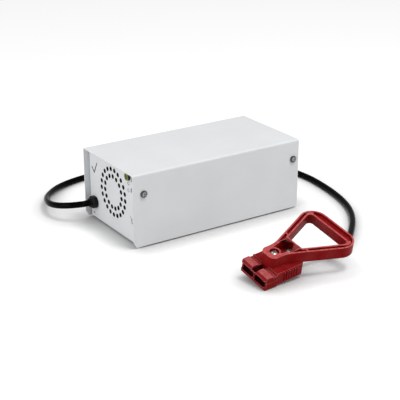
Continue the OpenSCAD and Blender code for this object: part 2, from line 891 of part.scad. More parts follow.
// Flat springs that press the contacts up from the floor of the mouths
module contact_springs() {
    color(zinc)
    on_plug() for (side = [-1, 1]) translate([0, side * pole_y, 0]) {
        translate([contact_tip_x, -contact_w / 2, mouth_wall])
            cube([mouth_depth - contact_tip_x - 0.5, contact_w, 0.5]);
        translate([contact_tip_x + 2, -contact_w / 2, mouth_wall + 0.5])
            cube([1, contact_w, plug_h / 2 - 0.6 - mouth_wall - 0.5]);
    }
}

// Two cores from the end of the lead's sheath into the contacts
module plug_cores() {
    color([0.5, 0.05, 0.05])
    for (side = [-1, 1]) {
        barrel = [28, side * pole_y, plug_h / 2];
        end = lead_tail + [0, side * core_y, 0];
        route = [
            barrel, barrel + [9, 0, 0], barrel + [18, 0, 0], barrel + [22, -side * 1.5, -0.1],
            barrel + [26.5, -side * 5, -0.3],
            end - 0.6 * lead_tail_run, end - 0.3 * lead_tail_run, end
        ];
        swept_wire(smooth_run([for (spot = route) plug_spot(spot)], 3), core_d / 2, 10, [0, 0, 1]);
    }
}

// Points of an arc, at both ends and evenly between
function arc(centre, radius, from, to) =
    let (steps = max(2, ceil(abs(to - from) / 7)))
    [for (i = [0:steps])
        let (angle = from + (to - from) * i / steps)
        centre + radius * [cos(angle), sin(angle)]];

// Points of one half of an outline, and the same points mirrored for the other half
function both_halves(points) =
    concat(points, [for (i = [len(points) - 1:-1:0]) [points[i].x, -points[i].y]]);

// Half width of the handle at a place along the arms
function arm_half(x) = pad_half_w + arm_slope * (x - arm_start);

// Outline of the handle, drawn in from its true edge by an inset:
// rounded pad, hollow fillet into the arm, round corner into the grip
module frame_2d(inset) {
    grip_centre_x = grip_x - grip_corner_r;
    grip_centre = [grip_centre_x, arm_half(grip_centre_x) - grip_corner_r * arm_splay];
    fillet_centre = [arm_start - pad_fillet_r * tan(arm_lean / 2), pad_half_w + pad_fillet_r];
    polygon(both_halves(concat(
        arc([pad_front_x, pad_half_w] + pad_corner_r * [1, -1], pad_corner_r - inset, 180, 90),
        arc(fillet_centre, pad_fillet_r + inset, 270, 270 + arm_lean),
        arc(grip_centre, grip_corner_r - inset, 90 + arm_lean, 0)
    )));
}

// Finger opening between the arms and the grip, grown by an outset
module opening_2d(outset) {
    front_x = opening_x + opening_front_r;
    back_x = grip_x - grip_w - inner_corner_r;
    drop = arm_w * arm_splay;
    polygon(both_halves(concat(
        arc([front_x, arm_half(front_x) - drop - opening_front_r * arm_splay],
            opening_front_r + outset, 180, 90 + arm_lean),
        arc([back_x, arm_half(back_x) - drop - inner_corner_r * arm_splay],
            inner_corner_r + outset, 90 + arm_lean, 0)
    )));
}

// Pocket in the pad, behind the boss: wider towards the finger opening
module pocket_2d() {
    difference() {
        polygon(both_halves([[pocket_x, pocket_front_half], [pocket_wide_x, pocket_half],
            [opening_x - handle_wall, pocket_half]]));
        translate([screw_front_x, 0]) circle(boss_r);
    }
}

// Plan of the hollow that is open at the top: pocket in the pad, arms and grip
module hollow_2d() {
    pad_l = opening_x - handle_wall - pad_front_x;
    rib_y = pocket_half + handle_wall;
    difference() {
        frame_2d(handle_wall);
        opening_2d(handle_wall);
        // the pad and the pocket's walls are solid
        translate([pad_front_x, -rib_y]) square([pad_l, 2 * rib_y]);
        // short rib across each arm
        for (side = [-1, 1])
            translate([opening_x + handle_wall, side * (rib_y + arm_w) - arm_w])
                square([handle_wall, 2 * arm_w]);
    }
    pocket_2d();
}

// Pull handle: channel-section frame, open at the top
module handle() {
    color(handle_red)
    on_plug() difference() {
        translate([0, 0, plug_h]) linear_extrude(handle_h) difference() {
            frame_2d(0);
            opening_2d(0);
        }
        translate([0, 0, deck_z]) linear_extrude(handle_h) hollow_2d();
        translate([screw_front_x, 0, handle_top - boss_depth])
            cylinder(d = head_d + 2, h = boss_depth + 1);
        plug_screw_places() cylinder(d = handle_screw_d + 2 * fit_gap, h = handle_top);
    }
}

// Two screws that clamp the handle to the housing
module handle_screws() {
    color([0.8, 0.8, 0.78])
    on_plug() {
        translate([screw_front_x, 0, handle_top - boss_depth])
            pan_screw(handle_screw_d, handle_top - boss_depth - 1, head_d, head_h, 4, 1.1);
        translate([screw_rear_x, 0, deck_z])
            pan_screw(handle_screw_d, deck_z - 1, head_d, head_h, 4, 1.1);
    }
}

// Nuts in the pockets under the housing
module handle_nuts() {
    color(zinc)
    on_plug() plug_screw_places() translate([0, 0, nut_pocket_h - plug_nut_h]) difference() {
        hexagon(plug_nut_af, plug_nut_h);
        translate([0, 0, -1]) cylinder(d = handle_screw_d + fit_gap, h = plug_nut_h + 2);
    }
}

// Socket outline of the mains inlet, two lower corners cut off
module inlet_socket_2d() {
    w = inlet_socket.y / 2;
    h = inlet_socket.z / 2;
    polygon([[-w, h], [w, h], [w, inlet_cut - h], [w - inlet_cut, -h], [inlet_cut - w, -h],
        [-w, inlet_cut - h]]);
}

// Mains inlet, screwed to the outside of the rear panel
module mains_inlet() {
    body_w = inlet_body.y - 2 * fit_gap;
    body_h = inlet_body.z - 2 * fit_gap;
    color(black_plastic)
    translate([rear_x, inlet_y, inlet_z]) difference() {
        union() {
            along_x(inlet_flange.x) rounded_2d(inlet_flange.y, inlet_flange.z, 4);
            translate([inlet_flange.x - inlet_body.x, -body_w / 2, -body_h / 2])
                cube([inlet_body.x, body_w, body_h]);
        }
        translate([inlet_flange.x - inlet_socket.x, 0, 0]) along_x(inlet_socket.x + 1)
            inlet_socket_2d();
        for (side = [-1, 1])
            translate([inlet_flange.x, side * inlet_pitch / 2, 0]) {
                translate([-inlet_flange.x - 1, 0, 0]) rod_x(inlet_hole_d / 2, inlet_flange.x + 2);
                countersink(inlet_screw_head_h + fit_gap, inlet_hole_d, inlet_screw_head_d + fit_gap);
            }
        inlet_pin_places() translate([-inlet_body.x, 0, 0]) inlet_pin(2 * inlet_body.x);
    }
}

// Cone that ends at x = 0, for a countersunk head or its seat
module countersink(depth, small_d, large_d) {
    translate([-depth, 0, 0]) rotate([0, 90, 0]) cylinder(d1 = small_d, d2 = large_d, h = depth);
}

// Places a child at each of the three pins, the middle one raised
module inlet_pin_places() {
    for (i = [-1, 0, 1])
        translate([0, pin_pitch * i, i == 0 ? pin_size.y / 2 : -1.5]) children();
}

// Flat bar of a given length, from x = 0
module inlet_pin(length) {
    translate([0, -pin_size.x / 2, -pin_size.y / 2]) cube([length, pin_size.x, pin_size.y]);
}

// Three flat pins with tabs behind the inlet
module inlet_pins() {
    color(zinc)
    translate([rear_x + inlet_flange.x - inlet_body.x - tab_l, inlet_y, inlet_z])
        inlet_pin_places() inlet_pin(inlet_body.x + tab_l - pin_back);
}

// Countersunk screws of the inlet
module inlet_screws() {
    screw_l = 10;
    color(zinc)
    for (side = [-1, 1])
        translate([rear_x + inlet_flange.x, inlet_y + side * inlet_pitch / 2, inlet_z]) {
            translate([-screw_l, 0, 0]) rod_x(inlet_screw_d / 2, screw_l);
            countersink(inlet_screw_head_h, inlet_screw_d, inlet_screw_head_d);
        }
}

// Nuts of the inlet behind the rear panel
module inlet_nuts() {
    color(zinc)
    for (side = [-1, 1])
        translate([rear_in - nut_h, inlet_y + side * inlet_pitch / 2, inlet_z])
            rotate([0, 90, 0]) difference() {
                hexagon(nut_af, nut_h);
                translate([0, 0, -1]) cylinder(d = inlet_screw_d + fit_gap, h = nut_h + 2);
            }
}

// Circuit board on its pillars
module circuit_board() {
    color(board_green)
    difference() {
        translate([board_x0, -board_w / 2, board_z]) cube([board_l, board_w, board_t]);
        board_corners() translate([0, 0, board_z - 1]) cylinder(d = board_hole_d, h = board_t + 2);
    }
}

// Threaded pillars pressed into the base
module board_pillars() {
    color(zinc)
    board_corners() {
        difference() {
            translate([0, 0, base_top]) hexagon(pillar_af, pillar_h);
            translate([0, 0, base_top + sheet]) cylinder(d = board_screw_d + fit_gap, h = pillar_h);
        }
        translate([0, 0, base_z]) cylinder(d = board_hole_d - fit_gap, h = sheet);
    }
}

// Screws that hold the board on its pillars
module board_screws() {
    color(zinc)
    board_corners() translate([0, 0, board_top])
        pan_screw(board_screw_d, board_screw_l, board_screw_head.x, board_screw_head.y, 3, 0.8);
}

// Ferrite core of the transformer: a middle leg and a frame round both windows
module transformer_core() {
    core_l = 4 * core_leg + 2 * core_window.x;
    core_h = 2 * core_leg + core_window.y;
    color([0.2, 0.2, 0.21])
    translate([transformer_x, core_depth / 2, board_top + core_seat])
        rotate([90, 0, 0]) linear_extrude(core_depth) difference() {
            translate([-core_l / 2, 0]) square([core_l, core_h]);
            for (side = [-1, 1])
                translate([side * (core_leg + core_window.x / 2) - core_window.x / 2, core_leg])
                    square(core_window);
        }
}

// Winding on its bobbin round the middle leg, with the bobbin's feet on the board
module transformer_winding() {
    winding_l = 2 * (core_leg + core_window.x);
    foot_h = core_seat + core_leg + bobbin_gap;
    foot_w = 5;
    color([0.85, 0.75, 0.3])
    translate([transformer_x, 0, board_top]) {
        translate([0, 0, foot_h]) linear_extrude(core_window.y - 2 * bobbin_gap) difference() {
            rounded_2d(winding_l, bobbin_w, core_leg);
            square([2 * core_leg, core_depth], center = true);
        }
        for (side = [-1, 1])
            translate([-0.4 * winding_l, side * (core_depth / 2 + foot_w) - foot_w / 2, 0])
                cube([0.8 * winding_l, foot_w, foot_h]);
    }
}

// Ring choke on the mains side
module mains_choke() {
    color([0.2, 0.5, 0.3])
    translate([choke_place.x, choke_place.y, board_top]) rotate_extrude()
        translate([choke_ring_r, choke_wire_r]) circle(choke_wire_r, $fn = 32);
}

// Can capacitor standing on the board, with a beaded groove round its foot
module can_capacitor(diameter, height) {
    groove_r = diameter / 24 + 0.3;
    rotate_extrude() difference() {
        square([diameter / 2, height]);
        translate([diameter / 2 + groove_r / 3, 3 * groove_r]) circle(groove_r, $fn = 24);
    }
}

// Can capacitor on the mains side
module mains_capacitor() {
    color([0.15, 0.2, 0.35])
    translate([mains_can_place.x, mains_can_place.y, board_top])
        can_capacitor(mains_can_d, mains_can_h);
}

// Output filter capacitors, in a row
module output_capacitors() {
    color([0.1, 0.12, 0.2])
    for (i = [0:output_can_count - 1])
        translate([output_can_place.x + output_can_pitch * i, output_can_place.y, board_top])
            can_capacitor(output_can_d, output_can_h);
}

// Section of a heat sink: upright plate with fins towards the cover
module heat_sink_2d() {
    fin_pitch = (sink_h - sink_fin_t - 2) / (sink_fin_count - 1);
    square([sink_plate, sink_h]);
    for (i = [0:sink_fin_count - 1])
        translate([-sink_fin_l, 1 + fin_pitch * i]) square([sink_fin_l + 0.1, sink_fin_t]);
}

// Two finned heat sinks along the board's edges
module heat_sinks() {
    color([0.6, 0.62, 0.64])
    for (side = [-1, 1])
        translate([sink_x, 0, board_top]) scale([1, side, 1]) translate([0, -sink_y, 0])
            along_x(sink_l) heat_sink_2d();
}

// Transistors clipped flat to the heat sinks, their legs down to the board
module power_transistors() {
    leg_pitch = 2.54;
    color(black_plastic)
    for (side = [-1, 1], i = [0:transistor_count - 1])
        translate([sink_x + (i + 0.5) * sink_l / transistor_count, 0, board_top])
            scale([1, side, 1]) translate([0, sink_plate - sink_y, transistor_lift]) {
                translate([-transistor_size.x / 2, 0, 0]) cube(transistor_size);
                for (leg = [-1, 0, 1])
                    translate([leg_pitch * leg - 0.4, 1.8, -transistor_lift])
                        cube([0.8, 0.6, transistor_lift]);
            }
}

// Glass fuse tube with end caps
module fuse() {
    color([0.85, 0.88, 0.88])
    translate([fuse_place.x, fuse_place.y, board_top + fuse_lift]) rod_x(fuse_d / 2, fuse_l);
}

// Clips that hold the fuse
module fuse_clips() {
    color([0.75, 0.6, 0.3])
    for (x = [0, fuse_l - fuse_clip.x])
        translate([fuse_place.x + x, fuse_place.y, board_top]) difference() {
            translate([0, -fuse_clip.y / 2, 0]) cube(fuse_clip);
            translate([-1, 0, fuse_lift]) rod_x(fuse_d / 2, fuse_clip.x + 2);
            translate([-1, 0.4 - fuse_d / 2, fuse_lift])
                cube([fuse_clip.x + 2, fuse_d - 0.8, fuse_d]);
        }
}

// Two-way terminal block for the output cores
module output_terminals() {
    color([0.15, 0.45, 0.25])
    translate([terminal_x, terminal_y, board_top]) difference() {
        translate([0, -terminal_size.y / 2, 0]) cube(terminal_size);
        for (side = [-1, 1]) {
            translate([-1, side * terminal_way, terminal_bore_z])
                rod_x(core_d / 2 + running_gap, terminal_screw_x + 2);
            translate([terminal_screw_x, side * terminal_way, terminal_screw_z])
                cylinder(d = 4.4, h = terminal_size.z);
        }
    }
}

// Screws of the terminal block, each with one slot
module terminal_screws() {
    screw_d = 4.2;
    screw_h = 2.2;
    color(zinc)
    for (side = [-1, 1])
        translate([terminal_x + terminal_screw_x, terminal_y + side * terminal_way,
            board_top + terminal_screw_z])
        difference() {
            cylinder(d = screw_d, h = screw_h);
            translate([-screw_d, -0.4, 0.65 * screw_h]) cube([2 * screw_d, 0.8, screw_h]);
        }
}

// Two cores from the stripped end of the lead into the terminal block
module lead_cores() {
    color([0.6, 0.1, 0.1])
    for (side = [-1, 1]) {
        start = [lead_start_x, gland_y + side * core_y, gland_z];
        finish = [terminal_x + terminal_screw_x, terminal_y + side * terminal_way,
            board_top + terminal_bore_z];
        half_way = (start + finish) / 2;
        swept_wire(smooth_run([start, start + [2, 0, 0], start + [4, 0, 0],
            [fan_back, half_way.y + 0.6, half_way.z],
            finish - [10, 0, 0], finish - [7, 0, 0], finish], 3), core_d / 2, 10, [0, 0, 1]);
    }
}

// Wires from the inlet's tabs down to the board
module mains_wires() {
    tab_x = rear_x + inlet_flange.x - inlet_body.x - tab_l;
    color([0.2, 0.25, 0.6])
    for (i = [-1, 0, 1]) {
        tab = [tab_x, inlet_y + pin_pitch * i, inlet_z + (i == 0 ? pin_size.y / 2 : -1.5)];
        land = [tab_x - 7, tab.y, board_top];
        swept_wire(smooth_run([tab, tab - [1, 0, 0], tab - [2, 0, 0], tab - [4.6, 0, 1.6],
            tab - [6.4, 0, 5.5], tab - [7, 0, 11], land + [0, 0, 10], land + [0, 0, 5], land], 2),
            1, 8, [0, 1, 0]);
    }
}

// Two wires from the fan to the board
module fan_wires() {
    gap = 1.2;
    color([0.6, 0.1, 0.1])
    for (side = [-1, 1]) {
        leave = [fan_back, fan_y - fan_size / 2 + 3 + gap * side, fan_z - 16];
        land = [fan_back + 9, leave.y, board_top];
        swept_wire(smooth_run([leave, leave + [1, 0, 0], leave + [2, 0, 0],
            leave + [5, 0, -1.2], leave + [8, 0, -4], land + [0, 0, 4], land + [0, 0, 2], land], 2),
            0.7, 8, [0, 1, 0]);
    }
}

// Two wires from the lamp, round the side of the fan, to the board
module lamp_wires() {
    leg = [front_x + bezel_barrel_l + lamp_leg_l, lamp_y, lamp_z];
    beside = fan_y - fan_size / 2 - 4;
    clear = [leg.x + 2.4, (lamp_y + beside) / 2, lamp_z - 0.1];
    fan_middle = fan_front + fan_depth / 2;
    down_x = board_x0 + 1.1;
    color([0.1, 0.1, 0.1])
    for (side = [-1, 1]) {
        up = [0, 0, side * lamp_pitch / 2];
        out = [0, side * 1.1, 0];
        swept_wire(smooth_run([
            leg + up, leg + up + [0.4, 0, 0], leg + up + [0.8, 0, 0], clear + up,
            [fan_front + 1.5, beside, lamp_z - 0.4] + up,
            [fan_front + 4.5, beside, lamp_z - 0.8] + up,
            [fan_middle, beside, lamp_z - 2] + 0.9 * up + 0.5 * out,
            [fan_back, beside, lamp_z - 6] + 0.5 * up + out,
            [down_x - 2, beside, lamp_z - 16] + out,
            [down_x, beside, lamp_z - 30] + out,
            [down_x, beside, board_top + 8] + out,
            [down_x, beside, board_top + 4] + out,
            [down_x, beside, board_top] + out
        ], 2), 0.6, 8, [1, 0.1, 0.4]);
    }
}

cover();
chassis();
cover_screws();
feet();
fan_frame();
fan_rotor();
fan_stator();
fan_studs();
fan_spacers();
fan_nuts();
indicator_bezel();
indicator_lamp();
strain_relief();
output_lead();
plug_housing();
plug_contacts();
contact_springs();
plug_cores();
handle();
handle_screws();
handle_nuts();
mains_inlet();
inlet_pins();
inlet_screws();
inlet_nuts();
circuit_board();
board_pillars();
board_screws();
transformer_core();
transformer_winding();
mains_choke();
mains_capacitor();
output_capacitors();
heat_sinks();
power_transistors();
fuse();
fuse_clips();
output_terminals();
terminal_screws();
lead_cores();
mains_wires();
fan_wires();
lamp_wires();
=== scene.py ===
import math

import bmesh
import bpy
from mathutils import Euler, Matrix, Vector


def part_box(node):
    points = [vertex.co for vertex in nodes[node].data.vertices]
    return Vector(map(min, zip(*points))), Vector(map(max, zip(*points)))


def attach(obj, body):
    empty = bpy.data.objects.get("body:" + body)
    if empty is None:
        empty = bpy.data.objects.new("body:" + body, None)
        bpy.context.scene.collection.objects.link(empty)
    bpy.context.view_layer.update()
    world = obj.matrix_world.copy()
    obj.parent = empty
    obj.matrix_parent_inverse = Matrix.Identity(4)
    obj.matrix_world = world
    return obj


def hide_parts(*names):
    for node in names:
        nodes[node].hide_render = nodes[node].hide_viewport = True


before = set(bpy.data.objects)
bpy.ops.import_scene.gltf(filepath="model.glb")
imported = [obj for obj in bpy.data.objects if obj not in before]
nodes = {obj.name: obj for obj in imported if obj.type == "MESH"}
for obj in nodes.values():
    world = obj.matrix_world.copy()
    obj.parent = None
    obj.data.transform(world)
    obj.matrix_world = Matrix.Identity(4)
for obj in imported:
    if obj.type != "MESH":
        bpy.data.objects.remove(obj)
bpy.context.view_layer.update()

scene = bpy.context.scene
mm = 0.001


# Camera
# The photograph looks down on the fan end of the charger from its front left corner, from about a
# metre away with a long lens. The long side of the case runs away to the right.
camera_azimuth = math.radians(-33.355)
camera_elevation = math.radians(21.889)
camera_distance = 1109.79 * mm
camera_target = Vector((9.566, 0, 11.58)) * mm
camera_back = Vector((
    math.sin(camera_azimuth) * math.cos(camera_elevation),
    -math.cos(camera_azimuth) * math.cos(camera_elevation),
    math.sin(camera_elevation),
))
camera_data = bpy.data.cameras.new("camera")
camera_data.lens = 94.576
camera_data.sensor_width = 36
camera_data.clip_start = 0.05
camera_data.clip_end = 50
camera = bpy.data.objects.new("camera", camera_data)
camera.location = camera_target + camera_back * camera_distance
camera.rotation_mode = "QUATERNION"
camera.rotation_quaternion = (-camera_back).to_track_quat("-Z", "Y")
scene.collection.objects.link(camera)
scene.camera = camera


# Output lead
# A round two-core lead with a smooth black PVC sheath, 6.5 mm thick. It leaves the strain relief on
# the fan panel, lies round the back of the case on the floor and rises to the tail of the leaning
# battery connector, whose own frame has its mating face at x = 0 and its underside at z = 0.
lead_diameter = 6.5 * mm
plug_half_width = 17.5
plug_turn = Euler([math.radians(angle) for angle in (13.5, -5, 3)])
plug_lift = plug_half_width * math.sin(plug_turn.x) * math.cos(plug_turn.y)
plug_place = Vector((-47.9, -173.2, plug_lift))
plug_frame = Matrix.Translation(plug_place) @ plug_turn.to_matrix().to_4x4()
lead_tail = Vector((60, 0, 5.6))
lead_tail_run = Vector((5, 0, -0.7))
lead_route = [
    (-75.5, 37.5, 20.5), (-93.5, 37.5, 20.5), (-100.5, 37.5, 20.5), (-105.5, 37.5, 20.5),
    (-111, 39, 20.2), (-120, 45.5, 18.9), (-126.5, 57, 16.4), (-128.8, 70.6, 13.8),
    (-126, 86, 11.2), (-119.5, 101.6, 8.7), (-108.5, 116.5, 6.5), (-93, 131, 4.8),
    (-75.5, 140.6, 3.8), (-52.5, 147, 3.3), (-18, 150, 3.3), (20, 150, 3.3), (60, 144, 3.3),
    (98, 128, 3.3), (128, 102, 3.3), (148, 68, 3.3), (158.5, 34, 3.3), (161.5, 4.6, 3.3),
    (158.8, -23.5, 3.3), (153.8, -49.2, 3.3), (146.5, -73, 3.3), (136, -95, 3.3),
    (120, -117, 3.3), (99, -138.5, 3.3), (83.5, -151.3, 3.3), (70.5, -159.6, 3.5),
    (58.5, -164.6, 4.8), (47, -167.3, 7), (33.8, -169.6, 10.6),
    plug_frame @ (lead_tail + 2 * lead_tail_run),
    plug_frame @ (lead_tail + lead_tail_run),
    plug_frame @ lead_tail,
]


def curve_point(before, start, end, after, share):
    """Point at a share of the way from start to end on the smooth curve through four points."""
    slope = end - before
    bend = 2 * before - 5 * start + 4 * end - after
    swing = 3 * start - before - 3 * end + after
    return 0.5 * (2 * start + slope * share + bend * share ** 2 + swing * share ** 3)


def smooth_run(route, steps):
    """Points in metres on the smooth curve through a route in millimetres."""
    points = [Vector(place) * mm for place in route]
    ends = [points[0]] + points + [points[-1]]
    run = [curve_point(*ends[i:i + 4], step / steps)
           for i in range(len(points) - 1) for step in range(steps)]
    return run + [points[-1]]


class Value:
    """A value in a material's nodes. Python's operators on it add Math nodes."""

    def __init__(self, tree, socket=None):
        self.tree = tree
        self.socket = socket

    def node(self, kind, settings=None, inputs=None, out=0):
        """Adds a node, sets it up, fills its sockets, and returns one of its outputs."""
        made = self.tree.nodes.new(kind)
        for name, value in (settings or {}).items():
            setattr(made, name, value)
        for name, value in (inputs or {}).items():
            if isinstance(value, Value):
                self.tree.links.new(value.socket, made.inputs[name])
            else:
                made.inputs[name].default_value = value
        return Value(self.tree, made.outputs[out])

    def math(self, operation, *values):
        return self.node("ShaderNodeMath", {"operation": operation}, dict(enumerate(values)))

    def __add__(self, other):
        return self.math("ADD", self, other)

    def __sub__(self, other):
        return self.math("SUBTRACT", self, other)

    def __rsub__(self, other):
        return self.math("SUBTRACT", other, self)

    def __mul__(self, other):
        return self.math("MULTIPLY", self, other)

    def __gt__(self, other):
        return self.math("GREATER_THAN", self, other)

    def __lt__(self, other):
        return self.math("LESS_THAN", self, other)

    __radd__ = __add__
    __rmul__ = __mul__

    def absolute(self):
        return self.math("ABSOLUTE", self)

    def sine(self):
        return self.math("SINE", self)

    def smaller(self, other):
        return self.math("MINIMUM", self, other)

    def larger(self, other):
        return self.math("MAXIMUM", self, other)

    def beside(self, other):
        """Length of the vector whose two parts are this value and another."""
        return self.math("SQRT", self * self + other * other)

    def turned(self, other):
        """Angle of the vector whose two parts are another value and this one."""
        return self.math("ARCTAN2", self, other)

    def rise(self, low, high, start=0.0, end=1.0):
        """Smooth step of this value from low to high, as a value from start to end."""
        return self.node("ShaderNodeMapRange", {"interpolation_type": "SMOOTHSTEP"},
                         {0: self, 1: low, 2: high, 3: start, 4: end})

    def part(self, axis):
        """One part, x, y or z, of this vector."""
        return self.node("ShaderNodeSeparateXYZ", None, {0: self}, "xyz".index(axis))

    def blend(self, first, second):
        """Colour mixed from first, where this value is 0, to second, where it is 1."""
        inputs = {0: self, 6: first, 7: second}
        return self.node("ShaderNodeMix", {"data_type": "RGBA"}, inputs, 2)

    def noise(self, size, detail=2.0, stretch=(1, 1, 1)):
        """Cloudy noise from 0 to 1 at this place, with lumps of a size in metres."""
        place = self.node("ShaderNodeMapping", None, {0: self, "Scale": stretch})
        return self.node("ShaderNodeTexNoise", None,
                         {"Vector": place, "Scale": 1 / size, "Detail": detail})

    def cells(self, size):
        """Distance, from 0, to the middle of the nearest of many scattered cells."""
        return self.node("ShaderNodeTexVoronoi", None, {"Vector": self, "Scale": 1 / size})

    def painted(self, name):
        """The number that the faces of the mesh carry under a name."""
        return self.node("ShaderNodeAttribute", {"attribute_name": name}, None, 2)

    def bump(self, depth, distance):
        """Surface normal with this value as height; depth is the share of the distance used."""
        return self.node("ShaderNodeBump", None,
                         {"Strength": depth, "Distance": distance, "Height": self})


def new_finish(name, **settings):
    """New material with its fixed settings. Returns it, its shader and the object's own place."""
    material = bpy.data.materials.new(name)
    material.use_nodes = True
    shader = material.node_tree.nodes["Principled BSDF"]
    for setting, value in settings.items():
        shader.inputs[setting.replace("_", " ").title().replace("Ior", "IOR")].default_value = value
    place = Value(material.node_tree).node("ShaderNodeTexCoord", None, None, "Object")
    return material, shader, place


def feed(shader, **values):
    """Links values that vary over the surface to the shader's sockets."""
    for name, value in values.items():
        shader.id_data.links.new(value.socket, shader.inputs[name.replace("_", " ").title()])


def rgb(red, green, blue):
    """Colour from the 0 to 255 numbers that a screen shows."""
    def linear(level):
        share = level / 255
        return share / 12.92 if share <= 0.04045 else ((share + 0.055) / 1.055) ** 2.4
    return (linear(red), linear(green), linear(blue), 1.0)


def sheath_black():
    """Extruded black PVC: even, half glossy, with faint die lines and a little dust."""
    material, shader, place = new_finish("sheath_black", specular_ior_level=0.035)
    dust = place.noise(9 * mm, 4).rise(0.5, 0.75)
    grain = place.noise(0.6 * mm, 2)
    feed(shader,
         base_color=(dust * 0.2).blend(rgb(2, 2, 2), rgb(20, 20, 20)),
         roughness=dust * 0.12 + grain * 0.04 + 0.12,
         normal=grain.bump(0.05, 0.2 * mm))
    return material


lead_run = smooth_run(lead_route, 6)
lead_length = sum((end - start).length for start, end in zip(lead_run, lead_run[1:]))
lead_curve = bpy.data.curves.new("output_lead_sheath", "CURVE")
lead_curve.dimensions = "3D"
lead_curve.bevel_depth = lead_diameter / 2
lead_curve.bevel_resolution = 8
lead_curve.use_fill_caps = True
lead_line = lead_curve.splines.new("POLY")
lead_line.points.add(len(lead_run) - 1)
for point, spot in zip(lead_line.points, lead_run):
    point.co = (*spot, 1)
lead_curve.materials.append(sheath_black())
lead = bpy.data.objects.new("output_lead_sheath", lead_curve)
scene.collection.objects.link(lead)
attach(lead, "charger")
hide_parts("output_lead")


# Cover
# One steel sheet, 1 mm thick, folded over the top and both long sides and powder coated in a light
# silver grey. Four pan-head screws hold it to the flanges of the chassis.
def powder_coat():
    """Baked powder coat: fine orange peel, a faint metallic fleck and very slight clouding. Its
    rounded edges are painted lighter: a painted highlight.
    """
    material, shader, place = new_finish("powder_coat", specular_ior_level=0.25)
    cloud = place.noise(45 * mm, 3).rise(0.3, 0.7)
    fleck = place.noise(0.5 * mm, 1).rise(0.56, 0.66)
    peel = place.noise(0.9 * mm, 2)
    edge = place.painted("edge")
    tone = cloud.blend(rgb(222, 224, 226), rgb(226, 228, 230))
    flecked = (fleck * 0.5).blend(tone, rgb(233, 235, 237))
    # The rounded edges are painted lighter, a painted highlight along them.
    feed(shader,
         base_color=(edge * 0.4).blend(flecked, rgb(240, 241, 242)),
         roughness=peel * 0.1 + 0.5,
         normal=peel.bump(0.12, 0.1 * mm))
    return material


weld_distance = 0.002 * mm
flat_angle = math.radians(0.4)
sharp_angle = math.radians(30)


def softened(node, material, width, shape=None):
    """Shows a copy of a CAD node's mesh with its sharp edges rounded off to a width, after shape
    has worked on it. The faces of the rounded edges carry 1 under the name "edge"."""
    mesh = bmesh.new()
    mesh.from_mesh(nodes[node].data)
    edge_mark = mesh.faces.layers.float.new("edge")
    bmesh.ops.remove_doubles(mesh, verts=mesh.verts, dist=weld_distance)
    bmesh.ops.dissolve_limit(mesh, angle_limit=flat_angle, verts=mesh.verts, edges=mesh.edges)
    if shape:
        shape(mesh)
    sharp = [edge for edge in mesh.edges
             if edge.is_convex and edge.calc_face_angle(0) > sharp_angle]
    rounded = bmesh.ops.bevel(mesh, geom=sharp, offset=width, offset_type="OFFSET",
                              segments=2, profile=0.5, affect="EDGES",
                              clamp_overlap=False, material=-1)
    for face in mesh.faces:
        face.smooth = True
    for face in rounded["faces"]:
        face[edge_mark] = 1
    data = bpy.data.meshes.new(node + "_softened")
    mesh.to_mesh(data)
    mesh.free()
    data.set_sharp_from_angle(angle=sharp_angle)
    data.materials.clear()
    data.materials.append(material)
    piece = bpy.data.objects.new(node + "_softened", data)
    scene.collection.objects.link(piece)
    shading = piece.modifiers.new("even_shading", "WEIGHTED_NORMAL")
    shading.keep_sharp = True
    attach(piece, "charger")
    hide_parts(node)
    return piece


coat = powder_coat()
softened("cover", coat, 0.25 * mm)


# Chassis
# One steel sheet folded into the base, the fan panel and the rear panel, with side lips and corner
# flanges, powder coated like the cover. The fan panel has two rings of air holes, whose walls are
# painted dark grey as painted shade inside the holes.
hole_wall_span = (0.1 * mm, 0.98 * mm)
hole_field_radius = 28 * mm


def finished(material):
    """A material's shader, its colour so far, and the object's own place, to paint it further."""
    shader = material.node_tree.nodes["Principled BSDF"]
    colour = Value(material.node_tree, shader.inputs["Base Color"].links[0].from_socket)
    return shader, colour, colour.node("ShaderNodeTexCoord", None, None, "Object")


def box_middle(node):
    """Middle of the box round a node's mesh."""
    low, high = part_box(node)
    return (Vector(low) + Vector(high)) / 2


panel_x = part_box("chassis")[0][0]
fan_middle = box_middle("fan_frame")
chassis_coat = powder_coat()
chassis_shader, chassis_colour, chassis_place = finished(chassis_coat)
behind_face = chassis_place.part("x") - panel_x
from_fan_axis = (chassis_place.part("y") - fan_middle.y).beside(
    chassis_place.part("z") - fan_middle.z)
in_sheet = (behind_face > hole_wall_span[0]) * (behind_face < hole_wall_span[1])
hole_wall_painted_shade = in_sheet * (from_fan_axis < hole_field_radius)
# The walls of the air holes are painted dark grey: painted shade inside the holes.
feed(chassis_shader, base_color=hole_wall_painted_shade.blend(chassis_colour, rgb(46, 46, 47)))
softened("chassis", chassis_coat, 0.12 * mm)


# Panel marks
# Small screen-printed marks on the fan panel: a tick in thin grey strokes, a dash under the strain
# relief, and bars and rings that tell the states of the indicator.
ink_depth = 0.04 * mm


def printed_ink(name, tone):
    """Flat screen-printing ink with slightly uneven cover."""
    material, shader, place = new_finish(name, specular_ior_level=0.3)
    cover = place.noise(0.4 * mm, 3)
    feed(shader,
         base_color=cover.rise(0.3, 0.7, 0, 0.2).blend(rgb(tone, tone, tone + 3), rgb(205, 207, 209)),
         roughness=cover * 0.1 + 0.5)
    return material


def print_bar(mesh, start, end, width):
    """Adds a printed straight stroke between two places, each across and up the panel in mm."""
    start, end = Vector(start) * mm, Vector(end) * mm
    side = (end - start).orthogonal().normalized() * width * mm / 2
    corners = [start + side, start - side, end - side, end + side]
    return [mesh.faces.new([mesh.verts.new((panel_x, *corner)) for corner in corners])]


